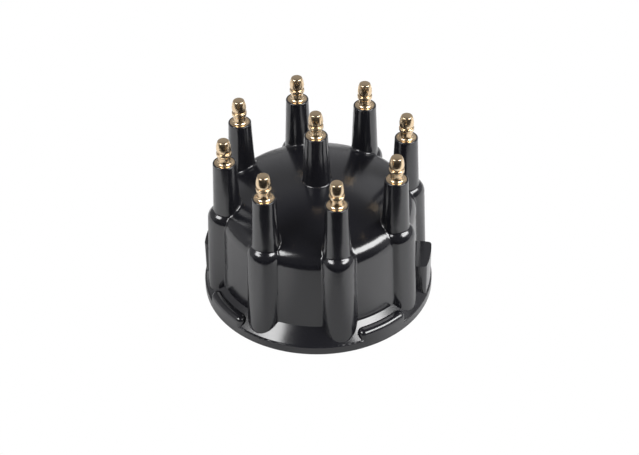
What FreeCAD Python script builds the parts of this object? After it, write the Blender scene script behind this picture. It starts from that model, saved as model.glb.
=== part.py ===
import FreeCAD, Part
import math
import os
import Sketcher

V = FreeCAD.Vector

# Distributor cap: one moulded cap with eight outer towers and one centre tower, nine brass
# terminals and a carbon contact. Lengths are in millimetres and angles in degrees. The origin is
# at the centre of the base, on the plane that seats on the distributor housing, with +Z up.

# Driving dimensions: name, value, what it is
DRIVING = [
    ("wall_head_radius", 43.4, "outer radius of the wall at its head"),
    ("wall_draft", 1.1, "how much wider the wall is at its foot"),
    ("flange_width", 6.7, "how far the flange stands out from the wall's foot"),
    ("flange_rim_height", 4.0, "height of the flange at its rim"),
    ("flange_root_height", 10.0, "height of the flange where it meets the wall"),
    ("flange_edge_round", 0.8, "rounding of the rim's upper edge"),
    ("wall_thickness", 2.9, "thickness of the wall"),
    ("roof_thickness", 4.0, "thickness of the roof"),
    ("crown_height", 55.7, "height of the dome at its centre"),
    ("dome_radius", 95.0, "radius of the dome"),
    ("crown_round", 8.5, "rounding between the wall and the dome"),
    ("cavity_round", 3.0, "rounding between the inner wall and the roof"),
    ("register_land", 6.2, "width of the seat outside the recess that fits over the housing"),
    ("register_depth", 4.5, "depth of that recess"),
    ("tower_count", 8, "number of outer towers"),
    ("terminal_inset", 3.65, "how far the outer terminals stand inside the wall's head"),
    ("first_tower_angle", 22.5, "angle of the first tower from +X"),
    ("column_offset", 0.95, "how far a column's head stands out from its terminal"),
    ("column_lean", 1.25, "how far a column's foot stands out from its head"),
    ("column_head_radius", 7.65, "radius of a column at its head"),
    ("column_foot_radius", 7.95, "radius of a column at its foot"),
    ("column_foot_height", 3.0, "height in the flange where a column starts"),
    ("shoulder_lift", 2.65, "how far the shoulders start above the wall's head"),
    ("shoulder_round", 5.2, "rounding of a column's head into its shoulder"),
    ("corner_fillet", 1.0, "fillet where columns and towers meet the wall and the dome"),
    ("tower_foot_radius", 6.15, "radius of a tower at its foot"),
    ("tower_head_radius", 5.05, "radius of a tower at its head"),
    ("tower_edge_round", 0.5, "rounding of a tower's upper edge"),
    ("outer_tower_lift", 15.8, "how far the outer towers rise above the dome"),
    ("centre_tower_lift", 23.3, "how far the centre tower rises above the dome"),
    ("skirt_depth", 0.3, "how far the centre tower's fillet dips under the top of the dome"),
    ("skirt_round", 1.0, "radius of that fillet"),
    ("insert_clearance", 0.02, "play between an insert and its bore"),
    ("stud_height", 11.1, "height of a stud above its tower"),
    ("stud_tip_radius", 2.25, "radius of the flat at the tip"),
    ("stud_tip_chamfer", 0.2, "chamfer round the tip"),
    ("stud_head_radius", 3.175, "largest radius of the snap head"),
    ("stud_head_depth", 4.0, "depth of that radius below the tip"),
    ("stud_head_curve", 10.0, "radius of the head's upper curve"),
    ("stud_neck_radius", 2.65, "radius of the neck under the head"),
    ("stud_neck_height", 5.5, "height of the neck above the tower"),
    ("stud_neck_curve", 4.0, "radius of the head's lower curve"),
    ("stud_collar_radius", 3.25, "radius of the collar under the neck"),
    ("stud_collar_top", 5.2, "height of the collar's upper edge"),
    ("stud_collar_bottom", 4.0, "height of the collar's lower edge"),
    ("stud_collar_bevel", 0.6, "height of the bevel under the collar"),
    ("stud_post_radius", 2.68, "radius of the post between collar and flange"),
    ("stud_foot_round", 1.35, "radius of the fillet at the foot of the post"),
    ("stud_flange_radius", 4.35, "radius of the flange that seats on the tower"),
    ("stud_flange_thickness", 1.2, "thickness of that flange"),
    ("shank_radius", 3.0, "radius of the shank in the tower"),
    ("electrode_length", 13.0, "length of an electrode below the shoulder"),
    ("electrode_chamfer", 0.6, "chamfer at the electrode's lower end"),
    ("contact_radius", 2.6, "radius of the carbon contact"),
    ("contact_drop", 4.5, "how far the contact stands out below the roof"),
    ("contact_overlap", 2.0, "how far the contact reaches up into the roof"),
    ("contact_round", 1.0, "rounding of the contact's lower end"),
    ("bar_count", 4, "number of clip seats"),
    ("bar_angle", 45.0, "angle of the first clip seat from +X"),
    ("bar_width", 5.6, "radial width of a clip seat's bar"),
    ("bar_height", 8.4, "height of the bar above the base"),
    ("bar_round", 2.4, "rounding along the bar's crest"),
    ("bar_length", 24.0, "length of the bar along the rim"),
    ("ear_count", 2, "number of side ears"),
    ("ear_half_width", 8.9, "half the width of a side ear"),
    ("ear_height", 20.0, "height of the ear above the base"),
    ("ear_setback", 0.6, "how far the ear's face stands in from the rim"),
    ("ear_round", 1.8, "rounding of the ear's upright corners"),
    ("ear_depth", 12.0, "depth of the ear from its face into the wall"),
]

# Sizes that follow from them: name, formula
DERIVED = [
    ("wall_foot_radius", "wall_head_radius + wall_draft"),
    ("flange_radius", "wall_foot_radius + flange_width"),
    ("register_radius", "flange_radius - register_land"),
    ("terminal_circle_radius", "wall_head_radius - terminal_inset"),
    ("outer_tower_height", "crown_height + outer_tower_lift"),
    ("centre_tower_height", "crown_height + centre_tower_lift"),
    ("rim_top_radius", "flange_radius - flange_edge_round"),
    ("rim_side_height", "flange_rim_height - flange_edge_round"),
    ("dome_centre_height", "crown_height - dome_radius"),
    ("crown_round_radius", "wall_head_radius - crown_round"),
    ("crown_round_reach", "dome_radius - crown_round"),
    ("crown_round_lift", "sqrt(crown_round_reach ^ 2 - crown_round_radius ^ 2)"),
    ("wall_head_height", "dome_centre_height + crown_round_lift"),
    ("dome_edge_radius", "crown_round_radius * dome_radius / crown_round_reach"),
    ("dome_edge_height", "dome_centre_height + crown_round_lift * dome_radius / crown_round_reach"),
    ("cavity_foot_radius", "wall_foot_radius - wall_thickness"),
    ("cavity_head_radius", "wall_head_radius - wall_thickness"),
    ("roof_radius", "dome_radius - roof_thickness"),
    ("roof_centre_height", "crown_height - roof_thickness"),
    ("cavity_round_radius", "cavity_head_radius - cavity_round"),
    ("cavity_round_reach", "roof_radius - cavity_round"),
    ("cavity_round_lift", "sqrt(cavity_round_reach ^ 2 - cavity_round_radius ^ 2)"),
    ("cavity_head_height", "dome_centre_height + cavity_round_lift"),
    ("roof_edge_radius", "cavity_round_radius * roof_radius / cavity_round_reach"),
    ("roof_edge_height", "dome_centre_height + cavity_round_lift * roof_radius / cavity_round_reach"),
    ("first_tower_x", "terminal_circle_radius * cos(first_tower_angle * 1 deg)"),
    ("first_tower_y", "terminal_circle_radius * sin(first_tower_angle * 1 deg)"),
    ("column_head_place", "terminal_circle_radius + column_offset"),
    ("column_foot_place", "column_head_place + column_lean"),
    ("shoulder_x", "column_head_place * cos(first_tower_angle * 1 deg)"),
    ("shoulder_y", "column_head_place * sin(first_tower_angle * 1 deg)"),
    ("shoulder_height", "wall_head_height + shoulder_lift"),
    ("shoulder_top", "shoulder_height + shoulder_round"),
    ("shoulder_top_radius", "column_head_radius - shoulder_round"),
    ("skirt_radius", "tower_foot_radius + skirt_round"),
    ("skirt_height", "crown_height - skirt_depth"),
    ("centre_foot_height", "skirt_height + skirt_round"),
    ("tower_top_radius", "tower_head_radius - tower_edge_round"),
    ("outer_side_height", "outer_tower_height - tower_edge_round"),
    ("centre_side_height", "centre_tower_height - tower_edge_round"),
    ("centre_root_height", "roof_centre_height"),
    ("bore_radius", "shank_radius + insert_clearance"),
    ("seat_radius", "stud_flange_radius + insert_clearance"),
    ("outer_seat_height", "outer_tower_height - stud_flange_thickness"),
    ("centre_seat_height", "centre_tower_height - stud_flange_thickness"),
    ("electrode_end_height", "shoulder_height - electrode_length"),
    ("contact_top_height", "roof_centre_height + contact_overlap"),
    ("bar_middle_radius", "flange_radius - bar_width / 2"),
    ("bar_inner_radius", "flange_radius - bar_width"),
    ("bar_side_height", "bar_height - bar_round"),
    ("bar_crest_inner", "bar_inner_radius + bar_round"),
    ("bar_crest_outer", "flange_radius - bar_round"),
    ("bar_half_width", "bar_width / 2"),
    ("bar_end_crest", "bar_width / 2 - bar_round"),
    ("bar_sweep", "(bar_length - bar_width) / bar_middle_radius * 180 / pi"),
    ("bar_start_angle", "bar_angle - bar_sweep / 2"),
    ("bar_end_angle", "bar_angle + bar_sweep / 2"),
    ("bar_start_x", "bar_middle_radius * cos(bar_start_angle * 1 deg)"),
    ("bar_start_y", "bar_middle_radius * sin(bar_start_angle * 1 deg)"),
    ("bar_end_x", "bar_middle_radius * cos(bar_end_angle * 1 deg)"),
    ("bar_end_y", "bar_middle_radius * sin(bar_end_angle * 1 deg)"),
    ("ear_radius", "flange_radius - ear_setback"),
    ("ear_inner_face", "ear_radius - ear_depth"),
    ("ear_round_centre_y", "ear_half_width - ear_round"),
    ("ear_round_centre_x", "sqrt((ear_radius - ear_round) ^ 2 - ear_round_centre_y ^ 2)"),
    ("ear_face_x", "ear_round_centre_x * ear_radius / (ear_radius - ear_round)"),
    ("ear_face_y", "ear_round_centre_y * ear_radius / (ear_radius - ear_round)"),
]

# Heights on a stud, measured from the base: name, height above its tower
STUD_LEVELS = [
    ("flange_bottom", "-stud_flange_thickness"),
    ("post_foot", "stud_foot_round"),
    ("bevel_foot", "stud_collar_bottom - stud_collar_bevel"),
    ("collar_bottom", "stud_collar_bottom"),
    ("collar_top", "stud_collar_top"),
    ("neck", "stud_neck_height"),
    ("head_widest", "stud_height - stud_head_depth"),
    ("head_top", "stud_height - stud_tip_chamfer"),
    ("tip", "stud_height"),
]

# How an inward corner is told from an outward one: how far two normals have to differ, how far the
# point that is tested lies along one face and below it, and the tolerance of that test
SHARPNESS = 0.05
PROBE_ALONG = 0.15
PROBE_BELOW = 0.02
PROBE_TOLERANCE = 1e-6

doc = FreeCAD.newDocument("distributor_cap")
sheet = doc.addObject("Spreadsheet::Sheet", "sizes")


def fill_sheet():
    """Writes every size into the sheet: plain numbers first, then the formulas."""
    rows = [(name, str(value)) for name, value, _ in DRIVING]
    rows += [(name, "=" + formula) for name, formula in DERIVED]
    for tower in ("outer", "centre"):
        top = tower + "_tower_height"
        rows += [(f"{tower}_{level}", f"={top} + ({rise})") for level, rise in STUD_LEVELS]
    rows += [("stud_flange_join", "=stud_post_radius + stud_foot_round")]
    rows += [("stud_tip_edge", "=stud_tip_radius + stud_tip_chamfer")]
    rows += [("electrode_end_radius", "=shank_radius - electrode_chamfer")]
    rows += [("electrode_side_height", "=electrode_end_height + electrode_chamfer")]
    rows += [("contact_end_height", "=roof_centre_height - contact_drop")]
    rows += [("contact_side_height", "=contact_end_height + contact_round")]
    rows += [("contact_end_radius", "=contact_radius - contact_round")]
    for row, (name, content) in enumerate(rows, start=1):
        sheet.set(f"A{row}", name)
        sheet.set(f"B{row}", content)
        sheet.setAlias(f"B{row}", name)
    doc.recompute()


def size(name):
    """The value of a size in the sheet."""
    return float(sheet.get(name))


def origin_feature(body, role):
    """One of a body's own planes or axes."""
    return next(item for item in body.Origin.OriginFeatures if item.Role == role)


def new_body(name):
    """A body whose label names its file."""
    body = doc.addObject("PartDesign::Body", name)
    body.Label = name
    return body


def new_sketch(body, name, plane, shift=(), turn=None):
    """A sketch on one of the body's planes, moved along it by sizes and turned by an angle."""
    sketch = body.newObject("Sketcher::SketchObject", name)
    sketch.AttachmentSupport = [(origin_feature(body, plane), "")]
    sketch.MapMode = "FlatFace"
    if turn:
        upright = V(0, 0, 1) if plane == "XY_Plane" else V(0, 1, 0)
        sketch.AttachmentOffset = FreeCAD.Placement(V(), FreeCAD.Rotation(upright, size(turn)))
        sketch.setExpression("AttachmentOffset.Rotation.Angle", f"sizes.{turn} * 1 deg")
    for axis, expression in shift:
        sketch.setExpression(f"AttachmentOffset.Base.{axis}", expression)
    return sketch


def arc_through(start, end, radius, side):
    """An arc from start to end that bulges to one side, and whether it runs clockwise."""
    chord = end - start
    middle = (start + end) / 2
    height = math.sqrt(max(radius ** 2 - (chord.Length / 2) ** 2, 0.0))
    across = V(-chord.y, chord.x, 0).normalize()
    clockwise = side == "left"
    centre = middle + across * (-height if clockwise else height)
    first, last = (end, start) if clockwise else (start, end)
    circle = Part.Circle(centre, V(0, 0, 1), radius)
    begin = math.atan2(first.y - centre.y, first.x - centre.x)
    finish = math.atan2(last.y - centre.y, last.x - centre.x)
    return Part.ArcOfCircle(circle, begin, finish), clockwise


def draw_outline(sketch, corners):
    """A closed outline whose corners and radii are bound to the sheet.

    Each corner is (x, y) or (x, y, radius, side): the last two make the edge that leaves it an
    arc that bulges to its left or right. A coordinate is a size's name, with a minus sign where
    it is on the far side of the axis, or None on the axis itself.
    """
    def value(name):
        if name is None:
            return 0.0
        return -size(name[1:]) if name.startswith("-") else size(name)

    places = [V(value(corner[0]), value(corner[1]), 0) for corner in corners]
    ends = []
    for index, corner in enumerate(corners):
        start, end = places[index], places[(index + 1) % len(corners)]
        if len(corner) == 2:
            edge = sketch.addGeometry(Part.LineSegment(start, end), False)
            ends.append((edge, 1, 2))
            continue
        arc, clockwise = arc_through(start, end, size(corner[2]), corner[3])
        edge = sketch.addGeometry(arc, False)
        ends.append((edge, 2, 1) if clockwise else (edge, 1, 2))
        added = sketch.addConstraint(Sketcher.Constraint("Radius", edge, size(corner[2])))
        sketch.setExpression(f"Constraints[{added}]", "sizes." + corner[2])
    for index, corner in enumerate(corners):
        edge, begin, _ = ends[index]
        previous, _, finish = ends[index - 1]
        sketch.addConstraint(Sketcher.Constraint("Coincident", previous, finish, edge, begin))
        for name, kind, axis in ((corner[0], "DistanceX", -2), (corner[1], "DistanceY", -1)):
            if name is None:
                sketch.addConstraint(Sketcher.Constraint("PointOnObject", edge, begin, axis))
                continue
            placed = Sketcher.Constraint(kind, -1, 1, edge, begin, value(name))
            added = sketch.addConstraint(placed)
            sign = "-" if name.startswith("-") else ""
            sketch.setExpression(f"Constraints[{added}]", sign + "sizes." + name.lstrip("-"))


def revolve(body, kind, name, corners, shift=(), turn=None, angle=None):
    """Turns an outline about the upright line through its sketch's origin."""
    sketch = new_sketch(body, name + "_outline", "XZ_Plane", shift, turn)
    draw_outline(sketch, corners)
    feature = body.newObject("PartDesign::" + kind, name)
    feature.Profile = (sketch, [""])
    feature.ReferenceAxis = (sketch, ["V_Axis"])
    feature.Angle = 360
    if angle:
        feature.Midplane = True
        feature.setExpression("Angle", f"sizes.{angle} * 1 deg")
    doc.recompute()
    return feature


def repeat(body, name, originals, count):
    """Repeats features evenly round the cap's axis."""
    pattern = body.newObject("PartDesign::PolarPattern", name)
    pattern.Originals = originals
    pattern.Axis = (origin_feature(body, "Z_Axis"), [""])
    pattern.Angle = 360
    pattern.setExpression("Occurrences", "sizes." + count)
    body.Tip = pattern
    doc.recompute()
    return pattern


def at_place(x, y):
    """Moves an upright sketch to a place in plan given by two sizes."""
    return (("x", "sizes." + x), ("z", "-sizes." + y))


def cap_outline():
    """Half the cap's outer section: flange, wall, rounded edge and dome."""
    return [
        (None, None),
        ("flange_radius", None),
        ("flange_radius", "rim_side_height", "flange_edge_round", "right"),
        ("rim_top_radius", "flange_rim_height"),
        ("wall_foot_radius", "flange_root_height"),
        ("wall_head_radius", "wall_head_height", "crown_round", "right"),
        ("dome_edge_radius", "dome_edge_height", "dome_radius", "right"),
        (None, "crown_height"),
    ]


def cavity_outline():
    """Half the section of the space inside: recess for the housing, chamber and roof."""
    return [
        (None, None),
        ("register_radius", None),
        ("register_radius", "register_depth"),
        ("cavity_foot_radius", "register_depth"),
        ("cavity_head_radius", "cavity_head_height", "cavity_round", "right"),
        ("roof_edge_radius", "roof_edge_height", "roof_radius", "right"),
        (None, "roof_centre_height"),
    ]


def shoulder_outline():
    """Half the section of a shoulder, which rounds off the head of a column."""
    return [
        (None, "shoulder_height"),
        ("column_head_radius", "shoulder_height", "shoulder_round", "right"),
        ("shoulder_top_radius", "shoulder_top"),
        (None, "shoulder_top"),
    ]


def tower_outline(root, foot, side, top):
    """Half a tower's section, from the corners of its root up to its rounded top."""
    return root + [
        ("tower_foot_radius", foot),
        ("tower_head_radius", side, "tower_edge_round", "right"),
        ("tower_top_radius", top),
        (None, top),
    ]


def bore_outline(seat, top, bottom):
    """Half the section of a terminal's bore, with the seat for its flange."""
    return [
        (None, bottom),
        ("bore_radius", bottom),
        ("bore_radius", seat),
        ("seat_radius", seat),
        ("seat_radius", top),
        (None, top),
    ]


def stud_outline(tower, lower_end):
    """Half a terminal's section, from the corners of its lower end up to the tip."""
    return lower_end + [
        ("shank_radius", tower + "_flange_bottom"),
        ("stud_flange_radius", tower + "_flange_bottom"),
        ("stud_flange_radius", tower + "_tower_height"),
        ("stud_flange_join", tower + "_tower_height", "stud_foot_round", "left"),
        ("stud_post_radius", tower + "_post_foot"),
        ("stud_post_radius", tower + "_bevel_foot"),
        ("stud_collar_radius", tower + "_collar_bottom"),
        ("stud_collar_radius", tower + "_collar_top"),
        ("stud_neck_radius", tower + "_neck", "stud_neck_curve", "right"),
        ("stud_head_radius", tower + "_head_widest", "stud_head_curve", "right"),
        ("stud_tip_edge", tower + "_head_top"),
        ("stud_tip_radius", tower + "_tip"),
        (None, tower + "_tip"),
    ]


def make_columns(body):
    """Eight columns that carry the towers and lean out to their feet on the flange."""
    sections = []
    for level, height, place, radius in (
            ("foot", "column_foot_height", "column_foot_place", "column_foot_radius"),
            ("head", "shoulder_height", "column_head_place", "column_head_radius")):
        lift = (("z", "sizes." + height),)
        sketch = new_sketch(body, "column_" + level, "XY_Plane", lift, "first_tower_angle")
        circle = Part.Circle(V(size(place), 0, 0), V(0, 0, 1), size(radius))
        edge = sketch.addGeometry(circle, False)
        sketch.addConstraint(Sketcher.Constraint("PointOnObject", edge, 3, -1))
        across = sketch.addConstraint(Sketcher.Constraint("DistanceX", -1, 1, edge, 3, size(place)))
        sketch.setExpression(f"Constraints[{across}]", "sizes." + place)
        wide = sketch.addConstraint(Sketcher.Constraint("Radius", edge, size(radius)))
        sketch.setExpression(f"Constraints[{wide}]", "sizes." + radius)
        sections.append(sketch)
    doc.recompute()
    column = body.newObject("PartDesign::AdditiveLoft", "column")
    column.Profile = (sections[0], [""])
    column.Sections = [(sections[1], [""])]
    column.Ruled = True
    doc.recompute()
    return column


def make_bars(body):
    """The raised bars that the spring clips hook over, with round crests and round ends."""
    section = [
        ("bar_inner_radius", None),
        ("bar_inner_radius", "bar_side_height", "bar_round", "left"),
        ("bar_crest_inner", "bar_height"),
        ("bar_crest_outer", "bar_height", "bar_round", "left"),
        ("flange_radius", "bar_side_height"),
        ("flange_radius", None),
    ]
    bar = revolve(body, "Revolution", "clip_bar", section, turn="bar_angle", angle="bar_sweep")
    end = [
        (None, None),
        ("bar_half_width", None),
        ("bar_half_width", "bar_side_height", "bar_round", "right"),
        ("bar_end_crest", "bar_height"),
        (None, "bar_height"),
    ]
    ends = []
    for name in ("bar_start", "bar_end"):
        place = at_place(name + "_x", name + "_y")
        ends.append(revolve(body, "Revolution", name, end, place))
    return [bar] + ends


def make_ear(body):
    """A solid ear on the flange, from the wall out to just inside the rim."""
    plan = new_sketch(body, "ear_plan", "XY_Plane")
    draw_outline(plan, [
        ("ear_inner_face", "-ear_half_width"),
        ("ear_round_centre_x", "-ear_half_width", "ear_round", "right"),
        ("ear_face_x", "-ear_face_y", "ear_radius", "right"),
        ("ear_face_x", "ear_face_y", "ear_round", "right"),
        ("ear_round_centre_x", "ear_half_width"),
        ("ear_inner_face", "ear_half_width"),
    ])
    ear = body.newObject("PartDesign::Pad", "ear")
    ear.Profile = (plan, [""])
    ear.setExpression("Length", "sizes.ear_height")
    doc.recompute()
    return ear


def inner_corners(shape, lowest):
    """The names of the edges above a height where two faces meet in an inward corner."""
    names = []
    for number, edge in enumerate(shape.Edges, start=1):
        faces = shape.ancestorsOfType(edge, Part.Face)
        if len(faces) != 2 or edge.BoundBox.ZMax < lowest:
            continue
        point = edge.valueAt((edge.FirstParameter + edge.LastParameter) / 2)
        first, second = (face.normalAt(*face.Surface.parameter(point)) for face in faces)
        across = second - first * first.dot(second)
        if across.Length < SHARPNESS:
            continue
        probe = point + across.normalize() * PROBE_ALONG - first * PROBE_BELOW
        if shape.isInside(probe, PROBE_TOLERANCE, True):
            names.append(f"Edge{number}")
    return names


def make_fillets(body, base):
    """Rounds the inward corners beside the columns and at the feet of the towers."""
    lowest = size("flange_root_height") + size("corner_fillet")
    fillet = body.newObject("PartDesign::Fillet", "corner_fillets")
    fillet.Base = (base, inner_corners(base.Shape, lowest))
    fillet.setExpression("Radius", "sizes.corner_fillet")
    body.Tip = fillet
    doc.recompute()
    return fillet


def make_cap_body():
    """The moulded cap: shell, columns, towers, clip seats and ears, then the spaces cut in it."""
    body = new_body("cap_body")
    first_tower = at_place("first_tower_x", "first_tower_y")
    revolve(body, "Revolution", "shell", cap_outline())
    repeat(body, "columns", [make_columns(body)], "tower_count")
    shoulder = revolve(body, "Revolution", "shoulder", shoulder_outline(),
                       at_place("shoulder_x", "shoulder_y"))
    tower = revolve(body, "Revolution", "tower", tower_outline(
        [(None, "shoulder_height")], "shoulder_height",
        "outer_side_height", "outer_tower_height"), first_tower)
    make_fillets(body, repeat(body, "towers", [shoulder, tower], "tower_count"))
    repeat(body, "clip_bars", make_bars(body), "bar_count")
    repeat(body, "ears", [make_ear(body)], "ear_count")
    skirt = [
        (None, "centre_root_height"),
        ("skirt_radius", "centre_root_height"),
        ("skirt_radius", "skirt_height", "skirt_round", "left"),
    ]
    revolve(body, "Revolution", "centre_tower", tower_outline(
        skirt, "centre_foot_height", "centre_side_height", "centre_tower_height"))
    revolve(body, "Groove", "cavity", cavity_outline())
    bore = revolve(body, "Groove", "bore", bore_outline(
        "outer_seat_height", "outer_tower_height", "electrode_end_height"), first_tower)
    repeat(body, "bores", [bore], "tower_count")
    revolve(body, "Groove", "centre_bore", bore_outline(
        "centre_seat_height", "centre_tower_height", "roof_centre_height"))
    return body


def make_terminals():
    """One turned brass terminal for each outer tower: stud, shank and inner electrode."""
    lower_end = [
        (None, "electrode_end_height"),
        ("electrode_end_radius", "electrode_end_height"),
        ("shank_radius", "electrode_side_height"),
    ]
    terminals = []
    count = round(size("tower_count"))
    for index in range(count):
        body = new_body(f"terminal_{index + 1}")
        revolve(body, "Revolution", f"stud_{index + 1}", stud_outline("outer", lower_end))
        turn = f"(sizes.first_tower_angle + {index} * 360 / sizes.tower_count) * 1 deg"
        body.setExpression("Placement.Base.x", f"sizes.terminal_circle_radius * cos({turn})")
        body.setExpression("Placement.Base.y", f"sizes.terminal_circle_radius * sin({turn})")
        terminals.append(body)
    return terminals


def make_centre_terminal():
    """The brass terminal of the centre tower, which ends on top of the carbon contact."""
    body = new_body("centre_terminal")
    lower_end = [(None, "contact_top_height"), ("shank_radius", "contact_top_height")]
    revolve(body, "Revolution", "centre_stud", stud_outline("centre", lower_end))
    return body


def make_contact():
    """The carbon contact in the middle of the roof, rounded where the rotor's spring rubs."""
    body = new_body("carbon_contact")
    revolve(body, "Revolution", "contact", [
        (None, "contact_end_height"),
        ("contact_end_radius", "contact_end_height", "contact_round", "right"),
        ("contact_radius", "contact_side_height"),
        ("contact_radius", "contact_top_height"),
        (None, "contact_top_height"),
    ])
    return body


def check(parts):
    """Stops if an object of the document failed or a part has no valid solid."""
    for item in doc.Objects:
        if "Invalid" in item.State or "Error" in item.State:
            raise RuntimeError(f"{item.Name} failed: {item.State}")
    for part in parts:
        if part.Shape.isNull() or not part.Shape.isValid() or not part.Shape.Solids:
            raise RuntimeError(f"{part.Label} has no valid solid")


fill_sheet()
parts = [make_cap_body(), make_centre_terminal(), make_contact()] + make_terminals()
doc.recompute()
check(parts)
os.makedirs("parts", exist_ok=True)
for part in parts:
    part.Shape.exportStep(f"parts/{part.Label}.step")
    print(part.Label, len(part.Shape.Solids), round(part.Shape.Volume, 1))
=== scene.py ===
"""Looks of a distributor cap: glossy black moulding, turned brass terminals, carbon contact."""

import logging
import math
from dataclasses import dataclass, field
from enum import Enum
from typing import Any, Optional

import bmesh
import bpy
from mathutils import Matrix, Vector


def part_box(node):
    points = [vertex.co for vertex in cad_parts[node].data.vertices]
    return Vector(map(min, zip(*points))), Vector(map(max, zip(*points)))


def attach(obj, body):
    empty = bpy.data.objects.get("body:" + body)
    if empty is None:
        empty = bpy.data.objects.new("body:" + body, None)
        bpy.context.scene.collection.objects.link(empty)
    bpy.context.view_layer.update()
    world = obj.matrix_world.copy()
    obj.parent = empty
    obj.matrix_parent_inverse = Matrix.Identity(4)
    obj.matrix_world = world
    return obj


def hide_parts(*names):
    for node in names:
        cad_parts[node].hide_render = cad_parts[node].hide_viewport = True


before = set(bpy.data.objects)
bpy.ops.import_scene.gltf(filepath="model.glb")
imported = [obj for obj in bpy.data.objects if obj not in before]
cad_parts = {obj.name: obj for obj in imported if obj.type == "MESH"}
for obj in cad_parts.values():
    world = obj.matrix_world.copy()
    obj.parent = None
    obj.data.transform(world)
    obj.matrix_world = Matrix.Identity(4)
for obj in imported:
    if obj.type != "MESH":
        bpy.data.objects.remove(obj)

LOG = logging.getLogger("distributor_cap")
MM = 0.001
ROOT_BODY = "root"
MERGE_DISTANCE = 1e-6
NEAR_ZERO = 1e-6
SHARP_TURN_DEGREES = 25
WHITE = (1.0, 1.0, 1.0, 1.0)


class Slot(Enum):
    """Two material slot names, moulding and terminals; the script does not use them."""

    MOULDING = "moulding"
    TERMINALS = "terminals"


def linear_colour(hex_code: str) -> tuple[float, float, float, float]:
    """Turns an sRGB colour into the linear one that shaders take.

    Args:
        hex_code: Six hex digits, two for each of red, green and blue.

    Returns:
        Linear red, green, blue and an alpha of 1.
    """
    channels = [int(hex_code[place:place + 2], 16) / 255 for place in (0, 2, 4)]
    red, green, blue = (
        value / 12.92 if value <= 0.04045 else ((value + 0.055) / 1.055) ** 2.4
        for value in channels
    )
    return red, green, blue, 1.0


def add_node(
    tree: bpy.types.NodeTree,
    kind: str,
    settings: Optional[dict[str, Any]] = None,
    inputs: Optional[dict[Any, Any]] = None,
) -> bpy.types.Node:
    """Adds a node with its settings, and gives its inputs values or links.

    Args:
        tree: The node tree that the node goes into.
        kind: The node's type name.
        settings: Properties of the node itself.
        inputs: Values or output sockets by input name or number.

    Returns:
        The new node.
    """
    node = tree.nodes.new(kind)
    for name, value in (settings or {}).items():
        setattr(node, name, value)
    for name, value in (inputs or {}).items():
        if isinstance(value, bpy.types.NodeSocket):
            tree.links.new(value, node.inputs[name])
        else:
            node.inputs[name].default_value = value
    return node


def new_material(name: str) -> tuple[bpy.types.Material, bpy.types.NodeTree]:
    """Makes a material with an empty node tree.

    Args:
        name: The material's name.

    Returns:
        The material and its tree.
    """
    material = bpy.data.materials.new(name)
    material.use_nodes = True
    material.node_tree.nodes.clear()
    return material, material.node_tree


def add_object(name: str, data: bpy.types.ID) -> bpy.types.Object:
    """Adds an object to the scene.

    Args:
        name: The object's name.
        data: Its mesh, lamp or camera.

    Returns:
        The object, at the origin.
    """
    thing = bpy.data.objects.new(name, data)
    bpy.context.scene.collection.objects.link(thing)
    return thing


def hand_over(piece: bpy.types.Object, nodes: list[str]) -> None:
    """Makes a finished piece ride on the cap and stand for its CAD nodes.

    Args:
        piece: The finished piece.
        nodes: The CAD nodes that it stands for.
    """
    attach(piece, ROOT_BODY)
    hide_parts(*nodes)
    LOG.info("built %s with %d faces for %s", piece.name, len(piece.data.polygons), ", ".join(nodes))


def arc(
    start: tuple[float, float], end: tuple[float, float], radius: float, steps: int,
) -> list[tuple[float, float]]:
    """Draws an arc between two points of an outline.

    Args:
        start: Radius and height where it begins.
        end: Radius and height where it ends.
        radius: Its radius; negative where it hollows the outline.
        steps: How many straight steps it is drawn with.

    Returns:
        The points with both ends.
    """
    first, last = Vector(start), Vector(end)
    chord = last - first
    size = abs(radius)
    reach = math.sqrt(max(size ** 2 - (chord.length / 2) ** 2, 0))
    inward = Vector((-chord.y, chord.x)).normalized() * (1 if radius > 0 else -1)
    centre = (first + last) / 2 + inward * reach
    begin, finish = first - centre, last - centre
    swing = -begin.angle_signed(finish)
    points = []
    for step in range(steps + 1):
        angle = swing * step / steps
        points.append((
            centre.x + begin.x * math.cos(angle) - begin.y * math.sin(angle),
            centre.y + begin.x * math.sin(angle) + begin.y * math.cos(angle),
        ))
    return points


def soften(line: list[tuple[float, float]], radius: float) -> list[tuple[float, float]]:
    """Breaks the sharp corners of an outline, as a lathe tool leaves them.

    Args:
        line: The outline's points.
        radius: How far from a corner its edge is broken.

    Returns:
        The outline with three points at each sharp corner that has room for them.
    """
    points = [line[0]]
    for before, corner, after in zip(line, line[1:], line[2:]):
        place = Vector(corner)
        back, ahead = Vector(before) - place, Vector(after) - place
        sharp = math.pi - back.angle(ahead) > math.radians(SHARP_TURN_DEGREES)
        if sharp and min(back.length, ahead.length) > 2 * radius:
            near, far = place + back.normalized() * radius, place + ahead.normalized() * radius
            middle = (near + far + place) / 3
            points += [tuple(near), tuple(middle), tuple(far)]
        else:
            points.append(corner)
    return points + [line[-1]]


def finished_mesh(
    work: bmesh.types.BMesh, name: str, crease_degrees: float, turn_outwards: bool = True,
) -> bpy.types.Mesh:
    """Merges a shape's doubles and shades it smooth up to its creases.

    Args:
        work: The shape; it is freed.
        name: The new mesh's name.
        crease_degrees: The angle between faces from which an edge stays sharp.
        turn_outwards: Whether its faces are turned to point outwards.

    Returns:
        The mesh.
    """
    bmesh.ops.remove_doubles(work, verts=work.verts, dist=MERGE_DISTANCE)
    if turn_outwards:
        bmesh.ops.recalc_face_normals(work, faces=work.faces)
    mesh = bpy.data.meshes.new(name)
    work.to_mesh(mesh)
    work.free()
    if "custom_normal" in mesh.attributes:
        mesh.attributes.remove(mesh.attributes["custom_normal"])
    mesh.shade_smooth()
    mesh.set_sharp_from_angle(angle=math.radians(crease_degrees))
    return mesh


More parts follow.
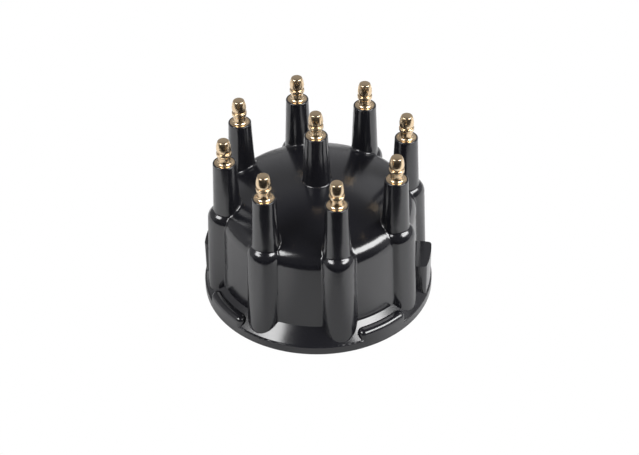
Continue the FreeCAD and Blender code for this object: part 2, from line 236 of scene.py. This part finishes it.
@dataclass(frozen=True)
class GlossMoulding:
    """Phenolic moulding compound, pressed in a polished steel mould and left as it came out."""

    # The polished mould leaves a black skin with clear reflections, bent by a slow waviness.
    colour: str = "18181c"
    roughness: float = 0.18
    index: float = 1.64
    ripple_mm: float = 9.0
    ripple_depth_mm: float = 0.02

    def build(self) -> bpy.types.Material:
        """Builds the material.

        Returns:
            A glossy black with the slow waviness of a moulded skin.
        """
        material, tree = new_material("glossy_phenolic_moulding")
        place = add_node(tree, "ShaderNodeTexCoord")
        ripple = add_node(
            tree, "ShaderNodeTexNoise",
            inputs={
                "Vector": place.outputs["Object"],
                "Scale": 1 / (self.ripple_mm * MM),
                "Detail": 1.0,
            },
        )
        skin = add_node(
            tree, "ShaderNodeBump",
            inputs={
                "Height": ripple.outputs["Fac"],
                "Distance": self.ripple_depth_mm * MM,
                "Strength": 1.0,
            },
        )
        surface = add_node(
            tree, "ShaderNodeBsdfPrincipled",
            inputs={
                "Base Color": linear_colour(self.colour),
                "Roughness": self.roughness,
                "IOR": self.index,
                "Normal": skin.outputs["Normal"],
            },
        )
        add_node(tree, "ShaderNodeOutputMaterial", inputs={"Surface": surface.outputs["BSDF"]})
        return material


@dataclass(frozen=True)
class TurnedBrass:
    """Free-cutting brass, turned on a lathe from bar and lightly tarnished."""

    # Fine turning and a little tarnish leave a pale metal with soft reflections.
    colour: str = "dcc4a2"
    roughness: float = 0.25

    def build(self) -> bpy.types.Material:
        """Builds the material.

        Returns:
            A bright pale brass.
        """
        material, tree = new_material("turned_brass")
        surface = add_node(
            tree, "ShaderNodeBsdfPrincipled",
            inputs={
                "Base Color": linear_colour(self.colour),
                "Metallic": 1.0,
                "Roughness": self.roughness,
            },
        )
        add_node(tree, "ShaderNodeOutputMaterial", inputs={"Surface": surface.outputs["BSDF"]})
        return material


@dataclass(frozen=True)
class PressedCarbon:
    """Carbon brush material, pressed from powder, matt and dark grey."""

    # Pressed powder scatters the light, so it shows no reflections.
    colour: str = "2b2b2e"
    roughness: float = 0.6

    def build(self) -> bpy.types.Material:
        """Builds the material.

        Returns:
            A matt dark grey.
        """
        material, tree = new_material("pressed_carbon")
        surface = add_node(
            tree, "ShaderNodeBsdfPrincipled",
            inputs={"Base Color": linear_colour(self.colour), "Roughness": self.roughness},
        )
        add_node(tree, "ShaderNodeOutputMaterial", inputs={"Surface": surface.outputs["BSDF"]})
        return material


@dataclass
class Camera:
    """The photograph's view: its place, aim, roll and focal length."""

    location: Vector = field(default_factory=lambda: Vector((0.1076, -0.5633, 0.4855)))
    target: Vector = field(default_factory=lambda: Vector((0.00083, 0.000157, 0.0289)))
    roll_degrees: float = -0.97
    lens_mm: float = 93.256
    sensor_mm: float = 36.0
    clip_start: float = 0.01

    def build(self) -> bpy.types.Object:
        """Adds the camera and makes it the scene's.

        Returns:
            The camera object.
        """
        data = bpy.data.cameras.new("camera")
        data.lens = self.lens_mm
        data.sensor_width = self.sensor_mm
        data.clip_start = self.clip_start
        camera = add_object("camera", data)
        forward = (self.target - self.location).normalized()
        right = forward.cross(Vector((0, 0, 1))).normalized()
        up = right.cross(forward)
        roll = math.radians(self.roll_degrees)
        across = right * math.cos(roll) + up * math.sin(roll)
        upward = up * math.cos(roll) - right * math.sin(roll)
        turn = Matrix((across, upward, -forward)).transposed()
        camera.matrix_world = Matrix.Translation(self.location) @ turn.to_4x4()
        bpy.context.scene.camera = camera
        return camera


@dataclass(frozen=True)
class SoftLamp:
    """One soft box: where it stands, where it points, its size and its power."""

    name: str
    place: tuple[float, float, float]
    aim: tuple[float, float, float]
    width: float
    height: float
    power: float

    def build(self) -> bpy.types.Object:
        """Adds the lamp.

        Returns:
            The lamp object.
        """
        data = bpy.data.lights.new(self.name, "AREA")
        data.shape = "RECTANGLE"
        data.size = self.width
        data.size_y = self.height
        data.energy = self.power
        lamp = add_object(self.name, data)
        lamp.location = self.place
        aim = Vector(self.aim) - Vector(self.place)
        lamp.rotation_euler = aim.to_track_quat("-Z", "Y").to_euler()
        return lamp


@dataclass
class Studio:
    """A white board, three soft lamps, and a grey room that is darker overhead and in front."""

    room: tuple[tuple[float, str], ...] = (
        (-1.0, "e6e6e8"), (-0.82, "c8c8ca"), (-0.7, "515153"), (-0.03, "515153"), (0.0, "b8b8ba"),
        (0.42, "a4a4a6"), (0.64, "a6a6a8"), (0.86, "4c4c4e"), (1.0, "4c4c4e"),
    )
    front_degrees: float = -79.2
    front_dimming: float = 0.18
    front_band: tuple[float, float] = (0.1, 0.6)
    board_depth: float = 0.0002
    board_steps: int = 96
    opening: float = 0.0502
    board_colour: str = "f4f4f4"
    # Painted shade on the board in front of the object: its darker colour, and the bands across and
    # along over which it fades.
    painted_shade_colour: str = "bebebe"
    painted_shade_side: tuple[float, float] = (0.02, 0.055)
    painted_shade_start: tuple[float, float] = (-0.05, -0.035)
    board_turn_degrees: float = 10.8
    board_front: float = 0.106
    board_back: float = 0.7
    board_side: float = 0.7
    lamps: tuple[SoftLamp, ...] = (
        SoftLamp("right_box", (0.92, -0.2, 0.9), (0, 0, 0.04), 1.0, 0.48, 20),
        SoftLamp("left_box", (-0.71, -0.615, 0.9), (0, 0, 0.04), 0.7, 0.42, 11),
        SoftLamp("back_box", (0.55, 0.95, 0.8), (0, 0, 0.04), 1.0, 0.5, 0.5),
    )

    def build(self) -> None:
        """Adds the world, the board and the lamps."""
        self.build_world()
        self.build_board()
        for lamp in self.lamps:
            lamp.build()

    def build_world(self) -> None:
        """Shows the camera white, and everything else a grey room, darker overhead and in front."""
        world = bpy.data.worlds.new("room")
        bpy.context.scene.world = world
        world.use_nodes = True
        tree = world.node_tree
        tree.nodes.clear()
        path = add_node(tree, "ShaderNodeLightPath")
        way = add_node(tree, "ShaderNodeTexCoord")
        split = add_node(tree, "ShaderNodeSeparateXYZ", inputs={0: way.outputs["Generated"]})
        height = add_node(
            tree, "ShaderNodeMapRange",
            inputs={"Value": split.outputs["Z"], "From Min": -1.0, "From Max": 1.0},
        )
        bands = add_node(tree, "ShaderNodeValToRGB", inputs={"Fac": height.outputs["Result"]})
        stops = bands.color_ramp.elements
        while len(stops) < len(self.room):
            stops.new(0.5)
        for stop, (rise, colour) in zip(stops, self.room):
            stop.position = (rise + 1) / 2
            stop.color = linear_colour(colour)
        front = math.radians(self.front_degrees)
        facing = add_node(
            tree, "ShaderNodeVectorMath", {"operation": "DOT_PRODUCT"},
            {0: way.outputs["Generated"], 1: (math.cos(front), math.sin(front), 0)},
        )
        dimming = add_node(
            tree, "ShaderNodeMapRange", {"interpolation_type": "SMOOTHSTEP"},
            {
                "Value": facing.outputs["Value"],
                "From Min": self.front_band[0],
                "From Max": self.front_band[1],
                "To Min": 1.0,
                "To Max": self.front_dimming,
            },
        )
        grey = add_node(
            tree, "ShaderNodeBackground",
            inputs={"Color": bands.outputs["Color"], "Strength": dimming.outputs["Result"]},
        )
        white = add_node(tree, "ShaderNodeBackground", inputs={"Color": WHITE, "Strength": 1.0})
        shown = add_node(
            tree, "ShaderNodeMath", {"operation": "MAXIMUM"},
            {0: path.outputs["Is Camera Ray"], 1: path.outputs["Is Transmission Ray"]},
        )
        mix = add_node(
            tree, "ShaderNodeMixShader",
            inputs={0: shown.outputs[0], 1: grey.outputs[0], 2: white.outputs[0]},
        )
        add_node(tree, "ShaderNodeOutputWorld", inputs={"Surface": mix.outputs[0]})

    def build_board(self) -> None:
        """Lays the white board."""
        mesh = self.board_mesh()
        mesh.materials.append(self.board_material())
        board = add_object("board", mesh)
        board.rotation_euler.z = math.radians(self.board_turn_degrees)

    def board_mesh(self) -> bpy.types.Mesh:
        """Draws the board, open under the object and short in front of it.

        Returns:
            Its mesh, a ring of quads between the opening and the straight edges.
        """
        inner, outer = [], []
        for step in range(self.board_steps):
            angle = math.tau * step / self.board_steps
            across, along = math.cos(angle), math.sin(angle)
            inner.append((self.opening * across, self.opening * along, -self.board_depth))
            end = self.board_back if along > 0 else self.board_front
            reach = min(self.board_side / max(abs(across), NEAR_ZERO), end / max(abs(along), NEAR_ZERO))
            outer.append((reach * across, reach * along, -self.board_depth))
        count = self.board_steps
        faces = [(a, a + count, (a + 1) % count + count, (a + 1) % count) for a in range(count)]
        mesh = bpy.data.meshes.new("board")
        mesh.from_pydata(inner + outer, [], faces)
        return mesh

    def board_material(self) -> bpy.types.Material:
        """Builds the board's material.

        Returns:
            Matt white with a painted shadow in front of the object, white to the camera and clear from
            below.
        """
        material, tree = new_material("white_board")
        path = add_node(tree, "ShaderNodeLightPath")
        place = add_node(tree, "ShaderNodeTexCoord")
        split = add_node(tree, "ShaderNodeSeparateXYZ", inputs={0: place.outputs["Object"]})
        # Painted shade: the board turns darker in front of the object, a painted shadow that the
        # moulding shows in its reflections.
        aside = add_node(tree, "ShaderNodeMath", {"operation": "ABSOLUTE"}, {0: split.outputs["X"]})
        across = self.fade(tree, aside.outputs[0], self.painted_shade_side)
        along = self.fade(tree, split.outputs["Y"], self.painted_shade_start)
        painted_shade_mask = add_node(tree, "ShaderNodeMath", {"operation": "MULTIPLY"}, {0: across, 1: along})
        # A colour mix takes its colours at sockets 6 and 7 and gives its result at 2.
        tone = add_node(
            tree, "ShaderNodeMix", {"data_type": "RGBA"},
            {
                0: painted_shade_mask.outputs[0],
                6: linear_colour(self.board_colour),
                7: linear_colour(self.painted_shade_colour),
            },
        )
        matt = add_node(tree, "ShaderNodeBsdfDiffuse", inputs={"Color": tone.outputs[2]})
        white = add_node(tree, "ShaderNodeEmission", inputs={"Color": WHITE, "Strength": 1.0})
        mix = add_node(
            tree, "ShaderNodeMixShader",
            inputs={0: path.outputs["Is Camera Ray"], 1: matt.outputs[0], 2: white.outputs[0]},
        )
        side = add_node(tree, "ShaderNodeNewGeometry")
        clear = add_node(tree, "ShaderNodeBsdfTransparent")
        one_sided = add_node(
            tree, "ShaderNodeMixShader",
            inputs={0: side.outputs["Backfacing"], 1: mix.outputs[0], 2: clear.outputs[0]},
        )
        add_node(tree, "ShaderNodeOutputMaterial", inputs={"Surface": one_sided.outputs[0]})
        return material

    def fade(
        self, tree: bpy.types.NodeTree, value: bpy.types.NodeSocket, band: tuple[float, float],
    ) -> bpy.types.NodeSocket:
        """Fades from full to none across a band.

        Args:
            tree: The node tree.
            value: The place that it is read at.
            band: Lowest and highest place of the band.

        Returns:
            1 below the band and 0 above it.
        """
        node = add_node(
            tree, "ShaderNodeMapRange", {"interpolation_type": "SMOOTHSTEP"},
            {"Value": value, "From Min": band[0], "From Max": band[1], "To Min": 1.0, "To Max": 0.0},
        )
        return node.outputs["Result"]


@dataclass
class TurnedTerminal:
    """One turned stud with its flange, shank and lower end; sizes in millimetres."""

    lower_end: float
    tower_top: float
    chamfer: float = 0.6
    shank_radius: float = 3.0
    flange_radius: float = 4.35
    flange_thickness: float = 1.2
    foot_round: float = 1.35
    post_radius: float = 2.68
    bevel_foot: float = 3.4
    collar_radius: float = 3.25
    collar_bottom: float = 4.0
    collar_top: float = 5.2
    neck_radius: float = 2.65
    neck_height: float = 5.5
    neck_curve: float = 4.0
    head_radius: float = 3.175
    head_widest: float = 7.1
    head_curve: float = 10.0
    tip_edge_radius: float = 2.45
    tip_radius: float = 2.25
    tip_edge_height: float = 10.9
    tip_height: float = 11.1
    edge_round: float = 0.09
    round_steps: int = 8
    head_steps: int = 12
    steps: int = 64
    crease_degrees: float = 25

    def outline(self) -> list[tuple[float, float]]:
        """Draws half the section from the lower end up to the tip.

        Returns:
            Radius and height of each point, in millimetres.
        """
        top = self.tower_top
        tip = top + self.tip_height
        foot = (self.post_radius, top + self.foot_round)
        neck = (self.neck_radius, top + self.neck_height)
        widest = (self.head_radius, top + self.head_widest)
        tip_edge = (self.tip_edge_radius, top + self.tip_edge_height)
        line = [
            (0.0, self.lower_end),
            (self.shank_radius - self.chamfer, self.lower_end),
            (self.shank_radius, self.lower_end + self.chamfer),
            (self.shank_radius, top - self.flange_thickness),
            (self.flange_radius, top - self.flange_thickness),
            (self.flange_radius, top),
        ]
        line += arc((self.post_radius + self.foot_round, top), foot, -self.foot_round, self.round_steps)
        line += [
            (self.post_radius, top + self.bevel_foot),
            (self.collar_radius, top + self.collar_bottom),
            (self.collar_radius, top + self.collar_top),
        ]
        line += arc(neck, widest, self.neck_curve, self.round_steps)
        line += arc(widest, tip_edge, self.head_curve, self.head_steps)[1:]
        line += [(self.tip_radius, tip), (0.0, tip)]
        return soften(line, self.edge_round)

    def build(self) -> bpy.types.Mesh:
        """Turns the outline about the stud's own axis.

        Returns:
            A closed mesh in metres, on the Z axis.
        """
        work = bmesh.new()
        points = [work.verts.new((radius * MM, 0, height * MM)) for radius, height in self.outline()]
        edges = [work.edges.new(pair) for pair in zip(points, points[1:])]
        bmesh.ops.spin(
            work, geom=points + edges, cent=(0, 0, 0), axis=(0, 0, 1), dvec=(0, 0, 0),
            angle=math.tau, steps=self.steps, use_duplicate=False,
        )
        return finished_mesh(work, "turned_terminal", self.crease_degrees)


@dataclass
class TerminalRing:
    """The eight outer terminals, one on each tower, and the taller one in the centre."""

    finish: bpy.types.Material
    count: int = 8
    circle_radius: float = 39.75
    first_angle: float = 22.5
    outer_tower: float = 71.5
    centre_tower: float = 79.0
    centre_chamfer: float = 0.05

    def build(self) -> None:
        """Builds both pieces in place of their CAD nodes."""
        nodes = [f"terminal_{place + 1}" for place in range(self.count)]
        outer = TurnedTerminal(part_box(nodes[0])[0].z / MM, self.outer_tower)
        hand_over(add_object("terminal_ring", self.spread(outer.build())), nodes)
        lower_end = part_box("centre_terminal")[0].z / MM
        centre = TurnedTerminal(lower_end, self.centre_tower, chamfer=self.centre_chamfer)
        mesh = centre.build()
        mesh.materials.append(self.finish)
        hand_over(add_object("centre_stud", mesh), ["centre_terminal"])

    def spread(self, stud: bpy.types.Mesh) -> bpy.types.Mesh:
        """Sets the stud on every tower with Geometry Nodes.

        Args:
            stud: The stud's mesh, on the Z axis.

        Returns:
            One plain mesh with all the studs.
        """
        holder = add_object("terminal_ring_source", stud)
        tree = self.ring_tree()
        modifier = holder.modifiers.new("ring", "NODES")
        modifier.node_group = tree
        values = {
            "Count": self.count,
            "Circle Radius": self.circle_radius * MM,
            "First Angle": math.radians(self.first_angle),
        }
        for item in tree.interface.items_tree:
            if item.name in values and item.in_out == "INPUT":
                modifier[item.identifier] = values[item.name]
        graph = bpy.context.evaluated_depsgraph_get()
        mesh = bpy.data.meshes.new_from_object(holder.evaluated_get(graph))
        bpy.data.objects.remove(holder)
        return mesh

    def ring_tree(self) -> bpy.types.NodeTree:
        """Makes the tree that places one stud at each point of a circle.

        Returns:
            The tree, with the count, the circle's radius and the first angle as inputs.
        """
        tree = bpy.data.node_groups.new("ring_of_terminals", "GeometryNodeTree")
        for name, way, kind in (
            ("Geometry", "INPUT", "NodeSocketGeometry"),
            ("Count", "INPUT", "NodeSocketInt"),
            ("Circle Radius", "INPUT", "NodeSocketFloat"),
            ("First Angle", "INPUT", "NodeSocketFloat"),
            ("Geometry", "OUTPUT", "NodeSocketGeometry"),
        ):
            tree.interface.new_socket(name, in_out=way, socket_type=kind)
        given = add_node(tree, "NodeGroupInput")
        circle = add_node(
            tree, "GeometryNodeMeshCircle",
            inputs={"Vertices": given.outputs["Count"], "Radius": given.outputs["Circle Radius"]},
        )
        turn = add_node(tree, "ShaderNodeCombineXYZ", inputs={"Z": given.outputs["First Angle"]})
        turned = add_node(
            tree, "GeometryNodeTransform",
            inputs={"Geometry": circle.outputs["Mesh"], "Rotation": turn.outputs["Vector"]},
        )
        placed = add_node(
            tree, "GeometryNodeInstanceOnPoints",
            inputs={"Points": turned.outputs["Geometry"], "Instance": given.outputs["Geometry"]},
        )
        real = add_node(tree, "GeometryNodeRealizeInstances", inputs={0: placed.outputs["Instances"]})
        dressed = add_node(
            tree, "GeometryNodeSetMaterial",
            inputs={"Geometry": real.outputs["Geometry"], "Material": self.finish},
        )
        add_node(tree, "NodeGroupOutput", inputs={0: dressed.outputs["Geometry"]})
        return tree


@dataclass
class MouldedCap:
    """The cap's one-piece moulding, with its shading evened out over flats and roundings."""

    finish: bpy.types.Material
    node: str = "cap_body"
    crease_degrees: float = 26
    shading_weight: int = 100
    shading_threshold: float = 0.01

    def build(self) -> None:
        """Builds the moulding from a merged copy of its CAD node."""
        work = bmesh.new()
        work.from_mesh(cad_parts[self.node].data)
        mesh = finished_mesh(work, "moulded_cap", self.crease_degrees, turn_outwards=False)
        mesh.materials.clear()
        mesh.materials.append(self.finish)
        piece = add_object("moulded_cap", mesh)
        even = piece.modifiers.new("even_shading", "WEIGHTED_NORMAL")
        even.keep_sharp = True
        even.weight = self.shading_weight
        even.thresh = self.shading_threshold
        hand_over(piece, [self.node])


@dataclass
class CarbonContact:
    """The contact under the centre terminal: its CAD node, which only gets its finish."""

    finish: bpy.types.Material
    node: str = "carbon_contact"

    def dress(self) -> None:
        """Gives the node its material."""
        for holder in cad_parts[self.node].material_slots:
            holder.material = self.finish
        LOG.info("dressed %s with %s", self.node, self.finish.name)


def main() -> None:
    """Builds the view, the studio and the object's finishes, in that order."""
    logging.basicConfig(level=logging.INFO, format="%(message)s")
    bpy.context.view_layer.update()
    bpy.context.scene.view_settings.view_transform = "Standard"
    Camera().build()
    Studio().build()
    MouldedCap(GlossMoulding().build()).build()
    TerminalRing(TurnedBrass().build()).build()
    CarbonContact(PressedCarbon().build()).dress()


if __name__ == "__main__":
    main()
